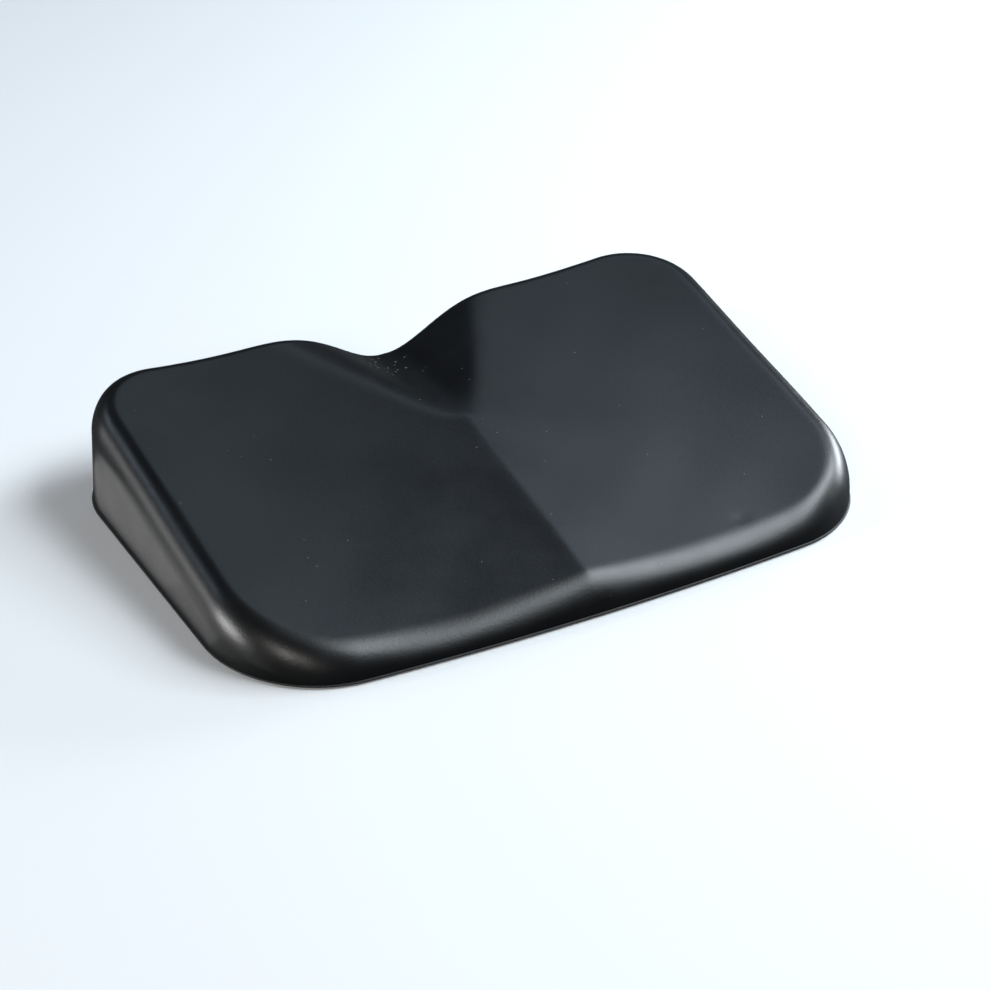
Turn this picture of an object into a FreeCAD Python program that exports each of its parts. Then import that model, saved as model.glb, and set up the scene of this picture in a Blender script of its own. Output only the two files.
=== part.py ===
import FreeCAD, Part
import math
import os

import Sketcher
from FreeCAD import Placement, Rotation, Vector

# Wedge seat cushion in self-skinned foam. Sizes are in millimetres.
#
# Frame: origin at the centre of the underside, +X across the width, +Y to the rear
# (the backrest side), +Z up.
#
# The cushion is one moulding with three layers of different density, and each layer is
# one node: foam_core, the upper_skin over its top and walls, and the base_skin under it.
# The upper skin and the core have the same form, one inside the other.

DIMENSIONS = {
    # outline seen from above, out to the lip at the foot of the walls
    "width": 394,
    "depth": 260,
    "front_arc_radius": 1950,
    "front_corner_radius": 66,
    "rear_corner_radius": 51,
    # heights of the top surface at its sides and along its central ridge
    "side_height_front": 24,
    "side_height_rear": 72,
    "ridge_height_front": 20,
    "ridge_height_rear": 70,
    "ridge_rounding": 5,
    # thigh bowls, one on each side of the ridge
    "bowl_depth_front": 9,
    "bowl_depth_rear": 7,
    # tailbone groove: open at the rear, closing to a point where the ridge starts
    "groove_length": 110,
    "groove_half_width": 74,
    "groove_depth": 36,
    "groove_floor_radius": 50,
    # rounding of the rim, small on the thin front and full at the rear
    "rim_rounding_front": 5,
    "rim_rounding_rear": 15,
    # skins
    "skin_thickness": 2,
    "base_thickness": 2,
    "base_lip": 0.8,
    "base_lip_rounding": 0.6,
    # the cutting shapes: how far they pass the cushion's front and rear, how high they
    # reach, and the size of the groove's closed end as a fraction of its open end
    "cutter_overrun": 20,
    "cutter_ceiling": 120,
    "groove_tip_scale": 0.04,
}

ON_WALL = 0.01          # an edge this close to the outline lies on a wall
START, END, CENTRE = 1, 2, 3
ORIGIN = (-1, 1)        # the sketch origin, as a constraint refers to it
VERTICAL_AXIS = -2


def make_sheet(doc):
    sheet = doc.addObject("Spreadsheet::Sheet", "dim")
    for row, (alias, value) in enumerate(DIMENSIONS.items(), start=1):
        sheet.set(f"A{row}", alias)
        sheet.set(f"B{row}", str(value))
        sheet.setAlias(f"B{row}", alias)
    doc.recompute()
    return sheet


# ---------------------------------------------------------------- sketching helpers

def new_sketch(body, name, plane_role, height):
    """A sketch on one of the body's own planes, moved along the plane's normal."""
    sketch = body.newObject("Sketcher::SketchObject", name)
    plane = next(p for p in body.Origin.OriginFeatures if p.Role == plane_role)
    sketch.AttachmentSupport = [(plane, "")]
    sketch.MapMode = "FlatFace"
    sketch.setExpression("AttachmentOffset.Base.z", height)
    return sketch


def dimension(sketch, kind, refs, formula):
    """A driving dimension whose value follows the sheet."""
    value = float(sketch.evalExpression(formula))
    index = sketch.addConstraint(Sketcher.Constraint(kind, *refs, value))
    sketch.setExpression(f"Constraints[{index}]", formula)


def relate(sketch, kind, *refs):
    sketch.addConstraint(Sketcher.Constraint(kind, *refs))


def arc(x, y, radius, start, end):
    circle = Part.Circle(Vector(x, y, 0), Vector(0, 0, 1), radius)
    return Part.ArcOfCircle(circle, start, end)


def line(x1, y1, x2, y2):
    return Part.LineSegment(Vector(x1, y1, 0), Vector(x2, y2, 0))


# ---------------------------------------------------------------- outline from above

def outline_sketch(body, height, inset):
    """Rounded rectangle with a bowed front, moved inwards everywhere by `inset`."""
    sketch = new_sketch(body, body.Name + "_outline", "XY_Plane", height)
    half_width = float(sketch.evalExpression(f"dim.width / 2 - ({inset})"))
    half_depth = float(sketch.evalExpression(f"dim.depth / 2 - ({inset})"))
    front_arc = float(sketch.evalExpression(f"dim.front_arc_radius - ({inset})"))
    front = float(sketch.evalExpression(f"dim.front_corner_radius - ({inset})"))
    rear = float(sketch.evalExpression(f"dim.rear_corner_radius - ({inset})"))

    arc_y = front_arc - half_depth
    front_x = half_width - front
    front_y = arc_y - math.sqrt((front_arc - front) ** 2 - front_x ** 2)
    rear_x = half_width - rear
    rear_y = half_depth - rear
    turn = math.atan2(front_y - arc_y, front_x)
    quarter = math.pi / 2
    sketch.addGeometry([
        arc(0, arc_y, front_arc, -math.pi - turn, turn),
        arc(front_x, front_y, front, turn, 0),
        line(half_width, front_y, half_width, rear_y),
        arc(rear_x, rear_y, rear, 0, quarter),
        line(rear_x, half_depth, -rear_x, half_depth),
        arc(-rear_x, rear_y, rear, quarter, math.pi),
        line(-half_width, rear_y, -half_width, front_y),
        arc(-front_x, front_y, front, math.pi, math.pi - turn),
    ], False)
    for index in range(8):
        relate(sketch, "Tangent", index, END, (index + 1) % 8, START)
    relate(sketch, "Vertical", 2)
    relate(sketch, "Horizontal", 4)
    relate(sketch, "Vertical", 6)
    relate(sketch, "PointOnObject", 0, CENTRE, VERTICAL_AXIS)
    dimension(sketch, "Radius", (0,), f"dim.front_arc_radius - ({inset})")
    dimension(sketch, "DistanceY", (*ORIGIN, 0, CENTRE), "dim.front_arc_radius - dim.depth / 2")
    for corner in (1, 7):
        dimension(sketch, "Radius", (corner,), f"dim.front_corner_radius - ({inset})")
    for corner in (3, 5):
        dimension(sketch, "Radius", (corner,), f"dim.rear_corner_radius - ({inset})")
    dimension(sketch, "DistanceX", (*ORIGIN, 2, START), f"dim.width / 2 - ({inset})")
    dimension(sketch, "DistanceX", (6, START, *ORIGIN), f"dim.width / 2 - ({inset})")
    dimension(sketch, "DistanceY", (*ORIGIN, 4, START), f"dim.depth / 2 - ({inset})")
    return sketch


# ---------------------------------------------------------------- top surface

def at_cutter_end(end, quantity):
    """Formula for a sheet quantity carried on past the front or rear by the overrun."""
    other = "rear" if end == "front" else "front"
    near = f"dim.{quantity}_{end}"
    far = f"dim.{quantity}_{other}"
    return f"({near} + ({near} - {far}) * dim.cutter_overrun / dim.depth)"


def top_section(body, end, drop):
    """Cross-section of all that is cut away above the top, at the front or the rear.

    Its underside is a bowl arc on each side, joined at the middle by the ridge arc.
    """
    side = 1 if end == "front" else -1
    sketch = new_sketch(body, f"{body.Name}_top_{end}", "XZ_Plane",
                        f"{side} * (dim.depth / 2 + dim.cutter_overrun)")
    ridge_height = f"{at_cutter_end(end, 'ridge_height')} - ({drop})"
    side_height = f"{at_cutter_end(end, 'side_height')} - ({drop})"
    bowl = at_cutter_end(end, "bowl_depth")
    bowl_radius = f"((dim.width / 2) ^ 2 / 4 + {bowl} ^ 2) / (2 * {bowl})"
    reach = "dim.width / 2 + dim.cutter_overrun"

    half = float(sketch.evalExpression("dim.width / 2"))
    limit = float(sketch.evalExpression(reach))
    ceiling = float(sketch.evalExpression("dim.cutter_ceiling"))
    radius = float(sketch.evalExpression(bowl_radius))
    crest = float(sketch.evalExpression("dim.ridge_rounding"))
    middle_z = float(sketch.evalExpression(ridge_height))
    side_z = float(sketch.evalExpression(side_height))

    # bowl centre: above the chord from the ridge to the side, on its bisector
    chord = math.hypot(half, side_z - middle_z)
    rise = math.sqrt(radius ** 2 - chord ** 2 / 4)
    centre_x = half / 2 - rise * (side_z - middle_z) / chord
    centre_z = (middle_z + side_z) / 2 + rise * half / chord
    crest_z = centre_z - math.sqrt((radius + crest) ** 2 - centre_x ** 2)
    join = math.atan2(centre_z - crest_z, centre_x)
    edge_z = centre_z - math.sqrt(radius ** 2 - (limit - centre_x) ** 2)
    outer = math.atan2(edge_z - centre_z, limit - centre_x)
    sketch.addGeometry([
        arc(-centre_x, centre_z, radius, math.pi - outer, 2 * math.pi - join),
        arc(0, crest_z, crest, join, math.pi - join),
        arc(centre_x, centre_z, radius, math.pi + join, outer),
        line(limit, edge_z, limit, ceiling),
        line(limit, ceiling, -limit, ceiling),
        line(-limit, ceiling, -limit, edge_z),
    ], False)
    # the points that the bowl arcs pass through: 6 the ridge, 7 and 8 the sides
    guides = [Part.Point(Vector(x, z, 0)) for x, z in
              ((0, middle_z), (half, side_z), (-half, side_z))]
    sketch.addGeometry(guides, True)

    relate(sketch, "Tangent", 0, END, 1, END)
    relate(sketch, "Tangent", 1, START, 2, START)
    for index in (2, 3, 4):
        relate(sketch, "Coincident", index, END, index + 1, START)
    relate(sketch, "Coincident", 5, END, 0, START)
    relate(sketch, "Vertical", 3)
    relate(sketch, "Horizontal", 4)
    relate(sketch, "Vertical", 5)
    relate(sketch, "PointOnObject", 6, START, VERTICAL_AXIS)
    for guide, bowl_arc in ((6, 0), (6, 2), (7, 2), (8, 0)):
        relate(sketch, "PointOnObject", guide, START, bowl_arc)
    for bowl_arc in (0, 2):
        dimension(sketch, "Radius", (bowl_arc,), bowl_radius)
    dimension(sketch, "Radius", (1,), "dim.ridge_rounding")
    dimension(sketch, "DistanceY", (*ORIGIN, 6, START), ridge_height)
    for guide in (7, 8):
        dimension(sketch, "DistanceY", (*ORIGIN, guide, START), side_height)
    dimension(sketch, "DistanceX", (*ORIGIN, 7, START), "dim.width / 2")
    dimension(sketch, "DistanceX", (8, START, *ORIGIN), "dim.width / 2")
    dimension(sketch, "DistanceX", (*ORIGIN, 3, START), reach)
    dimension(sketch, "DistanceX", (5, START, *ORIGIN), reach)
    dimension(sketch, "DistanceY", (*ORIGIN, 4, START), "dim.cutter_ceiling")
    return sketch


def groove_section(body, name, scale, drop):
    """Cross-section of the tailbone groove where it has grown to `scale` of full size.

    A round floor runs tangent into two flanks, which pass through the shoulder points.
    """
    inward = f"(dim.groove_length * (1 - {scale}))"
    slope = "(dim.ridge_height_rear - dim.ridge_height_front) / dim.depth"
    sketch = new_sketch(body, f"{body.Name}_groove_{name}", "XZ_Plane",
                        f"{inward} - dim.depth / 2")
    shoulder_x = f"dim.groove_half_width * {scale}"
    shoulder_z = f"dim.ridge_height_rear - {slope} * {inward} - ({drop})"
    floor_radius = f"dim.groove_floor_radius * {scale}"
    floor_centre = f"{shoulder_z} - dim.groove_depth * {scale} + {floor_radius}"
    lid_height = f"{shoulder_z} + {shoulder_x} / 3"

    half = float(sketch.evalExpression(shoulder_x))
    top = float(sketch.evalExpression(shoulder_z))
    radius = float(sketch.evalExpression(floor_radius))
    centre = float(sketch.evalExpression(floor_centre))
    lid = float(sketch.evalExpression(lid_height))
    # the flank is the tangent from the shoulder point to the floor arc
    flank = math.acos(radius / math.hypot(half, centre - top)) - math.atan2(centre - top, half)
    flank = math.pi / 2 - flank
    touch_x = radius * math.sin(flank)
    touch_z = centre - radius * math.cos(flank)
    lid_x = half + (lid - top) / math.tan(flank)
    down = -math.pi / 2
    sketch.addGeometry([
        arc(0, centre, radius, down - flank, down + flank),
        line(touch_x, touch_z, lid_x, lid),
        line(lid_x, lid, -lid_x, lid),
        line(-lid_x, lid, -touch_x, touch_z),
    ], False)
    # the shoulder points: 4 on the right, 5 on the left
    shoulders = [Part.Point(Vector(x, top, 0)) for x in (half, -half)]
    sketch.addGeometry(shoulders, True)

    relate(sketch, "Tangent", 0, END, 1, START)
    relate(sketch, "Coincident", 1, END, 2, START)
    relate(sketch, "Coincident", 2, END, 3, START)
    relate(sketch, "Tangent", 3, END, 0, START)
    relate(sketch, "Horizontal", 2)
    relate(sketch, "PointOnObject", 0, CENTRE, VERTICAL_AXIS)
    relate(sketch, "PointOnObject", 4, START, 1)
    relate(sketch, "PointOnObject", 5, START, 3)
    dimension(sketch, "Radius", (0,), floor_radius)
    dimension(sketch, "DistanceY", (*ORIGIN, 0, CENTRE), floor_centre)
    dimension(sketch, "DistanceX", (*ORIGIN, 4, START), shoulder_x)
    dimension(sketch, "DistanceX", (5, START, *ORIGIN), shoulder_x)
    for shoulder in (4, 5):
        dimension(sketch, "DistanceY", (*ORIGIN, shoulder, START), shoulder_z)
    dimension(sketch, "DistanceY", (*ORIGIN, 2, START), lid_height)
    return sketch


# ---------------------------------------------------------------- the wedge form

def wedge_form(doc, name, inset, drop):
    """The wedge with its bowls, ridge and groove, before its rim is rounded.

    `inset` moves the walls inwards and `drop` moves the top down. The foot of the form
    is always on top of the base skin.
    """
    body = doc.addObject("PartDesign::Body", name)
    block = body.newObject("PartDesign::Pad", name + "_block")
    block.Profile = outline_sketch(body, "dim.base_thickness", inset)
    block.setExpression("Length", "dim.cutter_ceiling - dim.cutter_overrun")
    doc.recompute()
    volumes = [body.Shape.Volume]

    top = body.newObject("PartDesign::SubtractiveLoft", name + "_top")
    top.Profile = top_section(body, "front", drop)
    top.Sections = [top_section(body, "rear", drop)]
    top.Ruled = True
    doc.recompute()
    volumes.append(body.Shape.Volume)

    groove = body.newObject("PartDesign::SubtractiveLoft", name + "_groove")
    groove.Profile = groove_section(
        body, "open_end", "(1 + dim.cutter_overrun / dim.groove_length)", drop)
    groove.Sections = [groove_section(body, "closed_end", "dim.groove_tip_scale", drop)]
    groove.Ruled = True
    doc.recompute()
    volumes.append(body.Shape.Volume)

    if not volumes[0] > volumes[1] > volumes[2]:
        raise RuntimeError(f"{name}: a cut removed nothing, volumes {volumes}")
    return body


def rim_edges(shape, foot_height):
    """Numbers of the edges where the top surface meets the walls, with their edges."""
    outline = min(shape.Faces, key=lambda face: face.CenterOfMass.z).OuterWire
    for number, edge in enumerate(shape.Edges, start=1):
        middle = edge.valueAt((edge.FirstParameter + edge.LastParameter) / 2)
        ends = [vertex.Point for vertex in edge.Vertexes]
        is_upright = math.hypot(ends[0].x - ends[1].x, ends[0].y - ends[1].y) < ON_WALL
        if is_upright or middle.z < foot_height + ON_WALL:
            continue
        foot = Part.Vertex(Vector(middle.x, middle.y, foot_height))
        if outline.distToShape(foot)[0] < ON_WALL:
            yield number, ends


def round_rim(doc, sheet, body, name, inset):
    """Rounds the rim of a form, with a radius that grows evenly from front to rear."""
    front = sheet.rim_rounding_front - inset
    rear = sheet.rim_rounding_rear - inset

    def radius_at(point):
        along = (point.y + sheet.depth / 2) / sheet.depth
        return front + (rear - front) * min(max(along, 0), 1)

    rounded = doc.addObject("Part::Fillet", name)
    rounded.Base = body
    rounded.Edges = [(number, radius_at(ends[0]), radius_at(ends[1]))
                     for number, ends in rim_edges(body.Shape, sheet.base_thickness)]
    doc.recompute()
    return rounded


# ---------------------------------------------------------------- the three layers

def make_upper_and_core(doc, sheet):
    """The skin is the outer form less the core, which fills it exactly."""
    outer = wedge_form(doc, "outer_form", "dim.base_lip", "0")
    inner = wedge_form(doc, "core_form", "dim.base_lip + dim.skin_thickness",
                       "dim.skin_thickness")
    outer_rounded = round_rim(doc, sheet, outer, "outer_rounded", 0)
    core = round_rim(doc, sheet, inner, "foam_core", sheet.skin_thickness)
    skin = doc.addObject("Part::Cut", "upper_skin")
    skin.Base = outer_rounded
    skin.Tool = core
    doc.recompute()
    return skin, core


def make_base_skin(doc):
    """Flat sheet under the foam. Its edge stands proud of the walls as a rounded lip."""
    body = doc.addObject("PartDesign::Body", "base_skin")
    plate = body.newObject("PartDesign::Pad", "base_plate")
    plate.Profile = outline_sketch(body, "0", "0")
    plate.setExpression("Length", "dim.base_thickness")
    doc.recompute()
    rim = [f"Edge{number}" for number, edge in enumerate(plate.Shape.Edges, start=1)
           if abs(edge.Vertexes[0].Point.z - edge.Vertexes[-1].Point.z) < ON_WALL]
    lip = body.newObject("PartDesign::Fillet", "base_lip")
    lip.Base = (plate, rim)
    lip.setExpression("Radius", "dim.base_lip_rounding")
    doc.recompute()
    return body


def check(doc, pieces):
    for obj in doc.Objects:
        if {"Invalid", "Error"} & set(obj.State):
            raise RuntimeError(f"{obj.Name} failed: {obj.State}")
    for piece in pieces:
        shape = piece.Shape
        if shape.isNull() or not shape.isValid() or len(shape.Solids) != 1:
            raise RuntimeError(f"{piece.Label} is not one valid solid")


def main():
    doc = FreeCAD.newDocument("seat_cushion")
    sheet = make_sheet(doc)
    upper_skin, foam_core = make_upper_and_core(doc, sheet)
    pieces = [upper_skin, foam_core, make_base_skin(doc)]
    for piece in pieces:
        piece.Label = piece.Name
        piece.Placement = Placement(Vector(0, 0, 0), Rotation())
    doc.recompute()
    check(doc, pieces)
    os.makedirs("parts", exist_ok=True)
    for piece in pieces:
        piece.Shape.exportStep(f"parts/{piece.Label}.step")
        box = piece.Shape.optimalBoundingBox()
        print(f"{piece.Label}: {box.XLength:.1f} x {box.YLength:.1f} x {box.ZLength:.1f} mm, "
              f"{piece.Shape.Volume / 1000:.0f} cm3")


main()
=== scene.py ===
"""Looks of a moulded wedge seat cushion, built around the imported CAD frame.

One surface shapes the upper skin and the foam core: the wedge top with two thigh bowls, the
ridge between them and the tailbone groove, and a rim that turns it down into the walls. The
base skin follows the same outline. Lengths are written in millimetres and turned into metres
when a mesh is made.
"""
import math

import bpy
import numpy as np
from mathutils import Matrix, Vector

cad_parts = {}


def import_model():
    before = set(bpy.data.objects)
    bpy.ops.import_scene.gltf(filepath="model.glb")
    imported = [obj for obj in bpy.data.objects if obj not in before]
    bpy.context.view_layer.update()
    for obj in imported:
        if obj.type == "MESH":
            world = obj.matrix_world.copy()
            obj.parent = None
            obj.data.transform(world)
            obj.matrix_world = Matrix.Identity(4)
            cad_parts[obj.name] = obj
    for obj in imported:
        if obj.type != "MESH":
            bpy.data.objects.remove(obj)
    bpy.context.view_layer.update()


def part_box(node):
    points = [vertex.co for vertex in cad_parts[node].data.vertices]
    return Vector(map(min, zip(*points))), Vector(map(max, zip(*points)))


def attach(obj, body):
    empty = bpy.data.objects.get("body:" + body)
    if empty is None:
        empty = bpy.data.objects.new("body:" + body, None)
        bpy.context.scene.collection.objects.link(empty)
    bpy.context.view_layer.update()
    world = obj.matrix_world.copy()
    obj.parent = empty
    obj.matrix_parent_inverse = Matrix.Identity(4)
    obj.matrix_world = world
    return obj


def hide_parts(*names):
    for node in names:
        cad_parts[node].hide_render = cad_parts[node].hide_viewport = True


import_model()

MM = 0.001


# ------------------------------------------------------------------ driving dimensions

base_low, base_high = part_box("base_skin")
skin_low, skin_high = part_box("upper_skin")
WIDTH = (base_high.x - base_low.x) / MM
DEPTH = (base_high.y - base_low.y) / MM
BASE_TOP = skin_low.z / MM                      # height where the walls start
LIP = (base_high.x - skin_high.x) / MM          # how far the base stands proud of the walls

FRONT_ARC_RADIUS = 1950.0
FRONT_CORNER_RADIUS = 65.8
REAR_CORNER_RADIUS = 51.0

SIDE_HEIGHT = (24.7, 72.5)                      # front, rear
RIDGE_HEIGHT = (17.6, 67.8)
RIDGE_PEAK = 2.0                                # how far the ridge's crest rises from its flanks
RIDGE_REACH = 25.0                              # and how far out from the centre it fades
RIDGE_SOFTNESS = 2.8                            # rounding of the crest
BOWL_DEPTH = (8.0, 5.9)
BOWL_SKEW = 0.20                                # over 0 moves the deepest line outwards

GROOVE_LENGTH = 116.0
GROOVE_DEPTH = 34.3                             # below the ridge line, at the rear
GROOVE_HALF_WIDTH = (15.0, 97.0)                # closed end, open end
GROOVE_FULLNESS = 0.94                          # under 1 narrows the floor
GROOVE_SHOULDERS = 1.8                          # over 1 gives the shoulders a longer, softer start
GROOVE_START = 9.0                              # rounding where the ridge meets the groove

WAVE_HEIGHT = 0.25
WAVE_SIZE = (17.0, 15.0)                        # along x and y, per radian
WAVE_DRIFT = (0.6, 0.8)                         # how far the waves bend, in radians
WAVE_DRIFT_SIZE = (23.0, 29.0)
DENT_PLACE = (104.0, -106.0)
DENT_RADIUS = 4.0
DENT_DEPTH = 0.35

RIM_WIDTH = (17.0, 14.8)                        # front, rear
RIM_FULLNESS = 1.10                             # 1 is an ellipse, more is closer to a chamfer
RIM_HEIGHT = 19.8
RIM_START = math.radians(6.0)                   # the rim leaves the wall at this angle
LEAST_WALL = 0.5
WALL_DRAFT = 0.030                              # inward lean per mm of height
SKIN_THICKNESS = 2.0
FOAM_GAP = 0.05                                 # between the foam and the skins

LIP_MIDDLE = 0.70 * BASE_TOP
LIP_RADIUS = 0.22 * BASE_TOP
LIP_SWEEP = (60.0, -70.0)                       # degrees above and below level
BASE_BEVEL = ((0.7, 0.5), (1.1, 0.2), (1.7, 0.05), (2.6, 0.0))      # inset, share of the height

# Mesh steps: along half the outline, then up the wall, over the rim and across the top.
FRONT_STEPS = 75
FRONT_FIRST_STEP = 0.35                         # against an even step
FRONT_CORNER_STEPS = 44
SIDE_STEPS = 59
REAR_CORNER_STEPS = 39
REAR_STEPS = 84
OUTER_STEPS = (12, 14, 76)                      # wall, rim, top
INNER_STEPS = (4, 6, 30)
LIP_STEPS = 6


# ------------------------------------------------------------------ the top surface

def lerp(pair, along):
    return pair[0] + (pair[1] - pair[0]) * along


def bowls_height(x, y):
    """Height of the wedge with its bowls and ridge, before the groove."""
    along = y / DEPTH + 0.5
    out = np.sqrt(x * x + RIDGE_SOFTNESS ** 2) - RIDGE_SOFTNESS
    across = np.clip(out / (WIDTH / 2 - RIDGE_SOFTNESS), 0, 1)
    crown = lerp(RIDGE_HEIGHT, along) * (1 - across) + lerp(SIDE_HEIGHT, along) * across
    crown -= RIDGE_PEAK * (1 - np.exp(-out / RIDGE_REACH)) * (1 - across)
    skewed = across * (1 - BOWL_SKEW * (1 - across))
    return crown - lerp(BOWL_DEPTH, along) * np.sin(np.pi * skewed)


def groove_depth(x, y):
    """How far the groove's smooth S-shaped sides and round floor lie below the bowls."""
    behind = np.maximum(y - DEPTH / 2 + GROOVE_LENGTH, 0)
    fall = np.hypot(behind, GROOVE_START) - GROOVE_START
    fall = fall / (math.hypot(GROOVE_LENGTH, GROOVE_START) - GROOVE_START)
    half_width = lerp(GROOVE_HALF_WIDTH, behind / GROOVE_LENGTH)
    across = np.clip(np.abs(x) / half_width, 0, 1) ** GROOVE_FULLNESS
    return GROOVE_DEPTH * fall * ((1 + np.cos(np.pi * across)) / 2) ** GROOVE_SHOULDERS


def unevenness(x, y):
    """Slow waves that moulded foam keeps, and a small dent near the front right corner."""
    bent_x = x / WAVE_SIZE[0] + WAVE_DRIFT[0] * np.sin(y / WAVE_DRIFT_SIZE[0])
    bent_y = y / WAVE_SIZE[1] + WAVE_DRIFT[1] * np.sin(x / WAVE_DRIFT_SIZE[1])
    away = (x - DENT_PLACE[0]) ** 2 + (y - DENT_PLACE[1]) ** 2
    waves = WAVE_HEIGHT * np.sin(bent_x) * np.sin(bent_y)
    return waves - DENT_DEPTH * np.exp(-away / DENT_RADIUS ** 2)


def top_height(x, y):
    return bowls_height(x, y) - groove_depth(x, y) + unevenness(x, y)


# ------------------------------------------------------------------ outline from above

def graded(count, fine):
    """Numbers from 0 to 1 whose steps grow. The first is about `fine` times an even step."""
    steps = np.linspace(0, 1, count + 1)
    return fine * steps + (1 - fine) * steps ** 2


def arc(x, y, radius, angles):
    """Points and outward directions along an arc round (x, y)."""
    normals = np.stack([np.cos(angles), np.sin(angles)], 1)
    return np.array([x, y]) + radius * normals, normals


def straight(x, y, normal):
    """Points and outward directions along a straight edge."""
    return np.stack([x, y], 1), np.tile(normal, (len(x), 1))


def half_outline():
    """Points and outward directions round the right half, from front centre to rear centre."""
    half_width = WIDTH / 2
    half_depth = DEPTH / 2
    arc_y = FRONT_ARC_RADIUS - half_depth
    front_x = half_width - FRONT_CORNER_RADIUS
    front_y = arc_y - math.sqrt((FRONT_ARC_RADIUS - FRONT_CORNER_RADIUS) ** 2 - front_x ** 2)
    rear_x = half_width - REAR_CORNER_RADIUS
    rear_y = half_depth - REAR_CORNER_RADIUS
    turn = math.atan2(front_y - arc_y, front_x)

    shares = graded(FRONT_STEPS, FRONT_FIRST_STEP)
    front_angles = -math.pi / 2 + (turn + math.pi / 2) * shares
    corner_angles = np.linspace(turn, 0, FRONT_CORNER_STEPS + 1)[1:]
    side_y = np.linspace(front_y, rear_y, SIDE_STEPS + 1)[1:]
    rear_angles = np.linspace(0, math.pi / 2, REAR_CORNER_STEPS + 1)[1:]
    edge_x = rear_x * (1 - np.linspace(0, 1, REAR_STEPS + 1))[1:]
    runs = (
        arc(0, arc_y, FRONT_ARC_RADIUS, front_angles),
        arc(front_x, front_y, FRONT_CORNER_RADIUS, corner_angles),
        straight(np.full(SIDE_STEPS, half_width), side_y, (1.0, 0.0)),
        arc(rear_x, rear_y, REAR_CORNER_RADIUS, rear_angles),
        straight(edge_x, np.full(REAR_STEPS, half_depth), (0.0, 1.0)),
    )
    points, normals = zip(*runs)
    return np.concatenate(points), np.concatenate(normals)


def outline():
    """The full closed outline, anticlockwise from the front centre, and its outward directions."""
    points, normals = half_outline()
    flip = np.array([-1.0, 1.0])
    left_points = points[-2:0:-1] * flip
    left_normals = normals[-2:0:-1] * flip
    return np.concatenate([points, left_points]), np.concatenate([normals, left_normals])


# ------------------------------------------------------------------ rings of the wedge

def wall_and_rim(inset, drop, wall_steps, rim_steps):
    """Rings from the foot of the wall to the inner edge of the rim, and that edge's outline."""
    points, normals = outline()
    foot = points - normals * inset
    top = top_height(points[:, 0], points[:, 1]) - drop
    wall_top = np.maximum(top - RIM_HEIGHT, BASE_TOP + LEAST_WALL)
    rings = []
    for share in np.linspace(0, 1, wall_steps + 1)[:-1]:
        height = BASE_TOP + (wall_top - BASE_TOP) * share
        ring = foot - normals * (WALL_DRAFT * height)[:, None]
        rings.append(np.column_stack([ring, height]))
    width = lerp(RIM_WIDTH, points[:, 1] / DEPTH + 0.5) - inset / 2
    start_out = math.cos(RIM_START) ** RIM_FULLNESS
    start_up = math.sin(RIM_START) ** RIM_FULLNESS
    for angle in np.linspace(RIM_START, math.pi / 2, rim_steps + 1):
        out = max(math.cos(angle), 0) ** RIM_FULLNESS
        up = math.sin(angle) ** RIM_FULLNESS
        inward = WALL_DRAFT * wall_top + width * (start_out - out)
        edge = foot - normals * inward[:, None]
        crown = top_height(edge[:, 0], edge[:, 1]) - drop
        below = (1 - up) / (1 - start_up)
        height = crown - (crown - wall_top) * below
        rings.append(np.column_stack([edge, height]))
    return rings, edge


def top_rings(edge, drop, steps):
    """Rings from the rim's inner edge to the point where the ridge meets the groove."""
    centre = np.array([0.0, DEPTH / 2 - GROOVE_LENGTH])
    rings = []
    for share in np.linspace(1, 0, steps + 1)[1:-1]:
        ring = centre + (edge - centre) * share
        height = top_height(ring[:, 0], ring[:, 1]) - drop
        rings.append(np.column_stack([ring, height]))
    height = top_height(centre[:1], centre[1:])[0] - drop
    return rings, np.array([centre[0], centre[1], height])


def wedge_surface(inset, drop, wall_steps, rim_steps, top_steps):
    """The wedge without its underside, moved in by `inset` and down by `drop`."""
    rings, edge = wall_and_rim(inset, drop, wall_steps, rim_steps)
    inner, pole = top_rings(edge, drop, top_steps)
    return rings + inner, pole


class MeshParts:
    """Collects rings of points and the faces between them."""

    def __init__(self):
        self.points = []
        self.faces = []

    def ring(self, ring):
        """Adds a ring's points and returns their numbers."""
        first = len(self.points)
        self.points.extend(map(tuple, ring))
        return np.arange(first, first + len(ring))

    def join(self, lower, upper, flip=False):
        """A band of quads between two rings, facing out when the rings run anticlockwise."""
        count = len(lower)
        for i in range(count):
            j = (i + 1) % count
            face = (lower[i], lower[j], upper[j], upper[i])
            self.faces.append(face[::-1] if flip else face)

    def close(self, ring, pole, flip=False):
        """A fan of triangles from a ring to a point."""
        self.points.append(tuple(pole))
        tip = len(self.points) - 1
        count = len(ring)
        for i in range(count):
            face = (ring[i], ring[(i + 1) % count], tip)
            self.faces.append(face[::-1] if flip else face)

    def surface(self, rings, pole, flip=False):
        """Joins a stack of rings and closes it with a pole. Returns the first ring."""
        loops = [self.ring(ring) for ring in rings]
        for lower, upper in zip(loops, loops[1:]):
            self.join(lower, upper, flip)
        self.close(loops[-1], pole, flip)
        return loops[0]

    def make(self, name, material):
        mesh = bpy.data.meshes.new(name)
        points = np.array(self.points) * MM
        mesh.from_pydata(points.tolist(), [], [tuple(map(int, face)) for face in self.faces])
        mesh.validate()
        mesh.polygons.foreach_set("use_smooth", [True] * len(mesh.polygons))
        mesh.materials.append(material)
        piece = bpy.data.objects.new(name, mesh)
        bpy.context.scene.collection.objects.link(piece)
        return piece


# ------------------------------------------------------------------ materials

FADE = 0.6                                      # a fleck or patch is full inside this share
SHARP = 0.001                                   # width of a step that should look sudden
RAISED = (0.505, 0.53)                          # pointiness of a slight and of a clear edge


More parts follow.
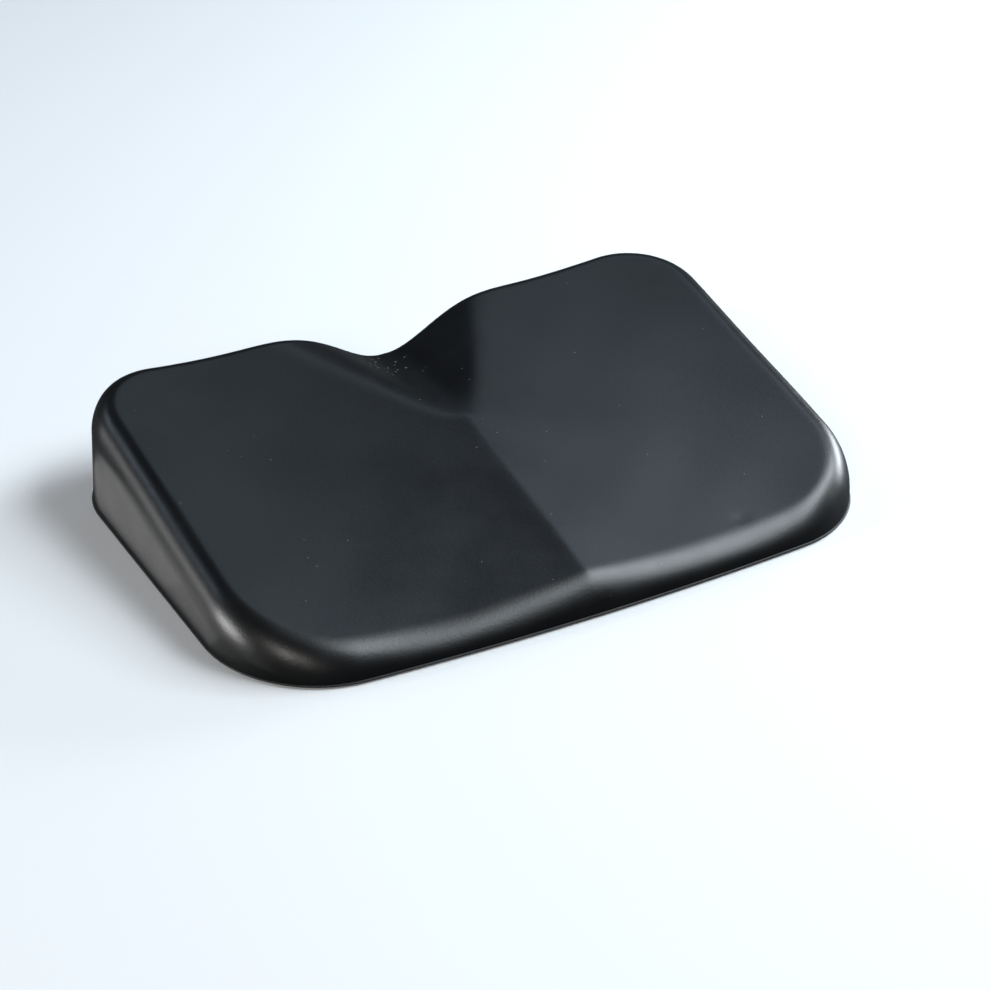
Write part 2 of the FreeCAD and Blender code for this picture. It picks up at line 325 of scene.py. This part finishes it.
class Nodes:
    """A short way to write a node material. Sizes are in millimetres."""

    def __init__(self, name):
        self.material = bpy.data.materials.new(name)
        self.material.use_nodes = True
        self.tree = self.material.node_tree
        self.shader = self.tree.nodes["Principled BSDF"]
        self.place = self.tree.nodes.new("ShaderNodeTexCoord").outputs["Object"]

    def link(self, source, target):
        self.tree.links.new(source, target)

    def noise(self, size_mm, detail=2.0):
        node = self.tree.nodes.new("ShaderNodeTexNoise")
        node.inputs["Scale"].default_value = 1 / (size_mm * MM)
        node.inputs["Detail"].default_value = detail
        node.inputs["Roughness"].default_value = 0.5
        self.link(self.place, node.inputs["Vector"])
        return node.outputs["Fac"]

    def map(self, value, low, high, to_low, to_high):
        """`value` rescaled from low..high to to_low..to_high, and kept inside that range."""
        node = self.tree.nodes.new("ShaderNodeMapRange")
        node.inputs["From Min"].default_value = low
        node.inputs["From Max"].default_value = high
        node.inputs["To Min"].default_value = to_low
        node.inputs["To Max"].default_value = to_high
        self.link(value, node.inputs["Value"])
        return node.outputs["Result"]

    def mix(self, share, first, second):
        """A blend of two colours, each a colour triple or a node's output."""
        node = self.tree.nodes.new("ShaderNodeMix")
        node.data_type = "RGBA"
        for socket, value in ((node.inputs[6], first), (node.inputs[7], second)):
            if isinstance(value, tuple):
                socket.default_value = (*value, 1)
            else:
                self.link(value, socket)
        self.link(share, node.inputs[0])
        return node.outputs[2]

    def combine(self, operation, first, second):
        """A Math node's result for two values, each a number or a node's output."""
        node = self.tree.nodes.new("ShaderNodeMath")
        node.operation = operation
        for socket, value in zip(node.inputs, (first, second)):
            if isinstance(value, float):
                socket.default_value = value
            else:
                self.link(value, socket)
        return node.outputs["Value"]

    def specks(self, spacing_mm, radius_mm, share):
        """1 on scattered flecks, 0 elsewhere. A share nearer to 1 gives more of them."""
        cells = self.tree.nodes.new("ShaderNodeTexVoronoi")
        cells.inputs["Scale"].default_value = 1 / (spacing_mm * MM)
        self.link(self.place, cells.inputs["Vector"])
        radius = radius_mm / spacing_mm
        inside = self.map(cells.outputs["Distance"], radius, FADE * radius, 0, 1)
        chosen = self.map(cells.outputs["Color"], 1 - share, 1 - share + SHARP, 0, 1)
        return self.combine("MULTIPLY", inside, chosen)

    def near(self, place_mm, radius_mm):
        """1 at a place on the piece, fading to 0 at the radius."""
        away = self.tree.nodes.new("ShaderNodeVectorMath")
        away.operation = "DISTANCE"
        self.link(self.place, away.inputs[0])
        away.inputs[1].default_value = Vector(place_mm) * MM
        radius = radius_mm * MM
        return self.map(away.outputs["Value"], radius, FADE * radius, 0, 1)

    def edges(self):
        """1 on rounded outer edges, 0 on flat and hollow surfaces."""
        geometry = self.tree.nodes.new("ShaderNodeNewGeometry")
        return self.map(geometry.outputs["Pointiness"], *RAISED, 0, 1)

    def bump(self, height, distance_mm, strength, under=None):
        node = self.tree.nodes.new("ShaderNodeBump")
        node.inputs["Distance"].default_value = distance_mm * MM
        node.inputs["Strength"].default_value = strength
        self.link(height, node.inputs["Height"])
        if under is not None:
            self.link(under, node.inputs["Normal"])
        return node.outputs["Normal"]


SKIN_DARK = (0.0016, 0.0019, 0.0023)
SKIN_PALE = (0.0029, 0.0034, 0.0040)
# Lighter colour on rounded edges: partly wear, partly painted sheen that stands in for the rim's
# highlight.
SKIN_WORN_AND_SHEEN = (0.007, 0.0075, 0.008)
SKIN_WEAR_AND_SHEEN = 0.3                                 # share of the lighter edge colour on an edge: partly wear, partly painted sheen
SKIN_ROUGHNESS = (0.33, 0.38)
SKIN_IOR = 1.48
CLOUD = (0.35, 0.65)                            # noise values of the two colours of a cloud
LINT = (0.13, 0.13, 0.12)
LINT_PLACE = (-6.0, 94.0, 40.0)                 # lint gathers on the groove's rear floor
LINT_REACH = 22.0

BASE_DARK = (0.007, 0.0073, 0.008)
BASE_PALE = (0.011, 0.0114, 0.0124)
BASE_ROUGHNESS = 0.62

FOAM_DARK = (0.03, 0.03, 0.032)
FOAM_PALE = (0.07, 0.07, 0.075)
FOAM_CELL = 0.8
FOAM_ROUGHNESS = 0.9


def skin_colour(nodes):
    """Faintly cloudy near black, lighter on the edges as wear and painted sheen, with a few pale
    lint flecks.
    """
    cloud = nodes.map(nodes.noise(60, 3), *CLOUD, 0, 1)
    colour = nodes.mix(cloud, SKIN_DARK, SKIN_PALE)
    # Rounded edges get a lighter colour: partly wear, partly painted sheen.
    worn_and_sheen = nodes.combine("MULTIPLY", nodes.edges(), SKIN_WEAR_AND_SHEEN)
    colour = nodes.mix(worn_and_sheen, colour, SKIN_WORN_AND_SHEEN)
    flecks = nodes.specks(spacing_mm=3.5, radius_mm=0.9, share=0.5)
    groove_lint = nodes.combine("MULTIPLY", flecks, nodes.near(LINT_PLACE, LINT_REACH))
    dust = nodes.specks(spacing_mm=7, radius_mm=0.45, share=0.3)
    return nodes.mix(nodes.combine("MAXIMUM", dust, groove_lint), colour, LINT)


def skin_material():
    """Dense moulded skin: near black, satin, with a fine stipple and small pores."""
    nodes = Nodes("moulded_skin")
    nodes.link(skin_colour(nodes), nodes.shader.inputs["Base Color"])
    rough = nodes.map(nodes.noise(18, 3), 0.3, 0.7, *SKIN_ROUGHNESS)
    nodes.link(rough, nodes.shader.inputs["Roughness"])
    stipple = nodes.bump(nodes.noise(0.45), 0.02, 0.5)
    pores = nodes.bump(nodes.noise(1.6), 0.09, 0.6, stipple)
    nodes.link(pores, nodes.shader.inputs["Normal"])
    nodes.shader.inputs["IOR"].default_value = SKIN_IOR
    return nodes.material


def base_material():
    """Matte underside skin with a coarser grain that keeps the cushion from sliding."""
    nodes = Nodes("base_skin")
    cloud = nodes.map(nodes.noise(35, 3), *CLOUD, 0, 1)
    nodes.link(nodes.mix(cloud, BASE_DARK, BASE_PALE), nodes.shader.inputs["Base Color"])
    nodes.shader.inputs["Roughness"].default_value = BASE_ROUGHNESS
    grain = nodes.bump(nodes.noise(1.1, 3), 0.2, 0.6)
    nodes.link(grain, nodes.shader.inputs["Normal"])
    return nodes.material


def foam_material():
    """Cut foam: dark grey with small cells."""
    nodes = Nodes("foam")
    shade = nodes.map(nodes.noise(FOAM_CELL), 0.4, 0.6, 0, 1)
    nodes.link(nodes.mix(shade, FOAM_DARK, FOAM_PALE), nodes.shader.inputs["Base Color"])
    nodes.shader.inputs["Roughness"].default_value = FOAM_ROUGHNESS
    cells = nodes.bump(nodes.noise(FOAM_CELL), 0.4, 0.8)
    nodes.link(cells, nodes.shader.inputs["Normal"])
    return nodes.material


# ------------------------------------------------------------------ pieces

def upper_skin():
    """The skin over the top and walls: a closed shell, open to the foam below."""
    parts = MeshParts()
    outer = wedge_surface(LIP, 0, *OUTER_STEPS)
    inner = wedge_surface(LIP + SKIN_THICKNESS, SKIN_THICKNESS, *INNER_STEPS)
    outer_foot = parts.surface(*outer)
    inner_foot = parts.surface(*inner, flip=True)
    parts.join(inner_foot, outer_foot)
    return parts.make("upper_skin_visual", skin_material())


def foam_core():
    """The foam that fills the skins, a hair smaller all round."""
    parts = MeshParts()
    inset = LIP + SKIN_THICKNESS + FOAM_GAP
    foot = parts.surface(*wedge_surface(inset, SKIN_THICKNESS + FOAM_GAP, *INNER_STEPS))
    parts.close(foot, (0, 0, BASE_TOP), flip=True)
    return parts.make("foam_core_visual", foam_material())


def base_section():
    """Inset and height down the base skin's edge: its top, the rounded lip, the lower bevel."""
    section = [(LIP + SKIN_THICKNESS, BASE_TOP), (LIP, BASE_TOP)]
    for angle in np.linspace(*LIP_SWEEP, LIP_STEPS + 1):
        turn = math.radians(angle)
        inset = LIP_RADIUS * (1 - math.cos(turn))
        section.append((inset, LIP_MIDDLE + LIP_RADIUS * math.sin(turn)))
    for inset, share in BASE_BEVEL:
        section.append((inset, share * BASE_TOP))
    return section


def base_skin():
    """Underside skin: flat below, with a rounded lip at the parting line."""
    points, normals = outline()
    parts = MeshParts()
    loops = []
    for inset, height in base_section():
        ring = points - normals * inset
        loops.append(parts.ring(np.column_stack([ring, np.full(len(ring), height)])))
    for upper, lower in zip(loops, loops[1:]):
        parts.join(lower, upper)
    parts.close(loops[0], (0, 0, BASE_TOP))
    parts.close(loops[-1], (0, 0, 0), flip=True)
    return parts.make("base_skin_visual", base_material())


for piece, node, slot in (
    (upper_skin(), "upper_skin", "moulded_skin"),
    (foam_core(), "foam_core", "foam"),
    (base_skin(), "base_skin", "base_skin"),
):
    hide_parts(node)
    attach(piece, "root")


# ------------------------------------------------------------------ floor and world

FLOOR_SIZE = 6.0
FLOOR_GAP = 0.0002                              # below the cushion
FLOOR_SEEN = (0.75, 0.76, 0.77)
FLOOR_REFLECTED = (0.05, 0.05, 0.052)
WORLD_COLOUR = (0.8, 0.9, 1.0)
WORLD_STRENGTH = 0.04


def floor():
    """A plain floor, pale to the camera. Every other ray meets a dark one, as the light that a
    pale floor throws up would turn the near-black walls grey."""
    bpy.ops.mesh.primitive_plane_add(size=FLOOR_SIZE, location=(0, 0, -FLOOR_GAP))
    plane = bpy.context.object
    plane.name = "floor"
    nodes = Nodes("floor")
    camera_ray = nodes.tree.nodes.new("ShaderNodeLightPath").outputs["Is Camera Ray"]
    colour = nodes.mix(camera_ray, FLOOR_REFLECTED, FLOOR_SEEN)
    nodes.link(colour, nodes.shader.inputs["Base Color"])
    nodes.shader.inputs["Roughness"].default_value = 0.8
    nodes.shader.inputs["Specular IOR Level"].default_value = 0.2
    plane.data.materials.append(nodes.material)


def world():
    scene = bpy.context.scene
    scene.world = bpy.data.worlds.new("studio")
    scene.world.use_nodes = True
    background = scene.world.node_tree.nodes["Background"]
    background.inputs["Color"].default_value = (*WORLD_COLOUR, 1)
    background.inputs["Strength"].default_value = WORLD_STRENGTH
    scene.view_settings.view_transform = "Standard"


# ------------------------------------------------------------------ lights

WHITE = (1.0, 1.0, 1.0)
DAYLIGHT = (0.86, 0.94, 1.0)
SKY = (0.68, 0.84, 1.0)
WARM = (1.0, 0.95, 0.9)

STRIP_X = -0.24                                 # a strip's middle, in metres
STRIP_WIDTH = 0.08
STRIP_HEIGHT = 0.001                            # above the floor


def softbox(name, azimuth, elevation, distance, size, power, colour=WHITE):
    """An area light aimed at the cushion, in degrees, metres and watts. Azimuth 0 is in front,
    90 on the cushion's right."""
    turn, rise = math.radians(azimuth), math.radians(elevation)
    way = Vector((math.sin(turn) * math.cos(rise), -math.cos(turn) * math.cos(rise),
                  math.sin(rise)))
    light = bpy.data.lights.new(name, "AREA")
    light.shape = "RECTANGLE"
    light.size, light.size_y = size
    light.energy = power
    light.color = colour
    lamp = bpy.data.objects.new(name, light)
    lamp.location = way * distance
    lamp.rotation_euler = way.to_track_quat("Z", "Y").to_euler()
    bpy.context.scene.collection.objects.link(lamp)


def strip(name, y, length, power):
    """A light panel that lies on the floor, faces up, and is mirrored by the left wall."""
    light = bpy.data.lights.new(name, "AREA")
    light.shape = "RECTANGLE"
    light.size, light.size_y = STRIP_WIDTH, length
    light.energy = power
    panel = bpy.data.objects.new(name, light)
    panel.location = (STRIP_X, y, STRIP_HEIGHT)
    panel.rotation_euler = (math.pi, 0, 0)
    panel.visible_camera = False
    bpy.context.scene.collection.objects.link(panel)


def lights():
    """Large soft lights: a window to the right, and fill from the rear, left and front left."""
    softbox("key", 60, 54, 2.0, (1.2, 0.8), 34, DAYLIGHT)
    softbox("right", 88, 38, 2.0, (0.65, 0.55), 15, DAYLIGHT)
    softbox("right_low", 100, 12, 2.0, (0.8, 0.5), 30, DAYLIGHT)
    softbox("right_high", 106, 54, 2.0, (0.6, 0.5), 2.6, SKY)
    softbox("near_window", 110, 50, 0.8, (0.35, 0.3), 0.46, SKY)
    softbox("right_rear", 147, 45, 2.0, (0.7, 0.5), 1.25, SKY)
    softbox("right_rear_low", 140, 25, 1.6, (0.8, 0.35), 0.1, SKY)
    softbox("backrest", -138, 34, 2.0, (0.7, 0.5), 3.2, SKY)
    softbox("left_rear", -124, 7, 2.0, (0.8, 0.5), 4)
    softbox("left_low", -98, 10, 2.0, (0.8, 0.5), 30)
    softbox("left_front", -42, 30, 2.0, (0.4, 0.35), 8, WARM)
    strip("left_strip", 0.07, 0.14, 0.033)
    strip("left_middle_strip", -0.03, 0.06, 0.011)
    strip("left_front_strip", -0.09, 0.06, 0.005)


# ------------------------------------------------------------------ camera

CAMERA_AZIMUTH = -29.91                         # degrees
CAMERA_ELEVATION = 31.62
CAMERA_ROLL = 1.40
CAMERA_DISTANCE = 1538.7                        # millimetres from AIM
CAMERA_LENS = 100.4
AIM = (0.0, 4.7, 30.0)
AIM_RIGHT = 9.9                                 # moves the aim across the picture
AIM_DOWN = 25.4


def camera():
    """A view from the front left and above. The angles place the camera as seen from AIM."""
    turn, rise = math.radians(CAMERA_AZIMUTH), math.radians(CAMERA_ELEVATION)
    back = Vector((math.sin(turn) * math.cos(rise), -math.cos(turn) * math.cos(rise),
                   math.sin(rise)))
    right = Vector((0, 0, 1)).cross(back).normalized()
    up = back.cross(right)
    roll = Matrix.Rotation(math.radians(CAMERA_ROLL), 3, back)
    right, up = roll @ right, roll @ up
    place = (Vector(AIM) + back * CAMERA_DISTANCE) * MM
    target = (Vector(AIM) + right * AIM_RIGHT - up * AIM_DOWN) * MM
    look = (place - target).normalized()
    side = up.cross(look).normalized()
    data = bpy.data.cameras.new("camera")
    data.lens = CAMERA_LENS
    data.clip_start = 0.01
    eye = bpy.data.objects.new("camera", data)
    turned = Matrix((side, look.cross(side), look)).transposed()
    eye.matrix_world = Matrix.Translation(place) @ turned.to_4x4()
    bpy.context.scene.collection.objects.link(eye)
    bpy.context.scene.camera = eye


floor()
world()
lights()
camera()
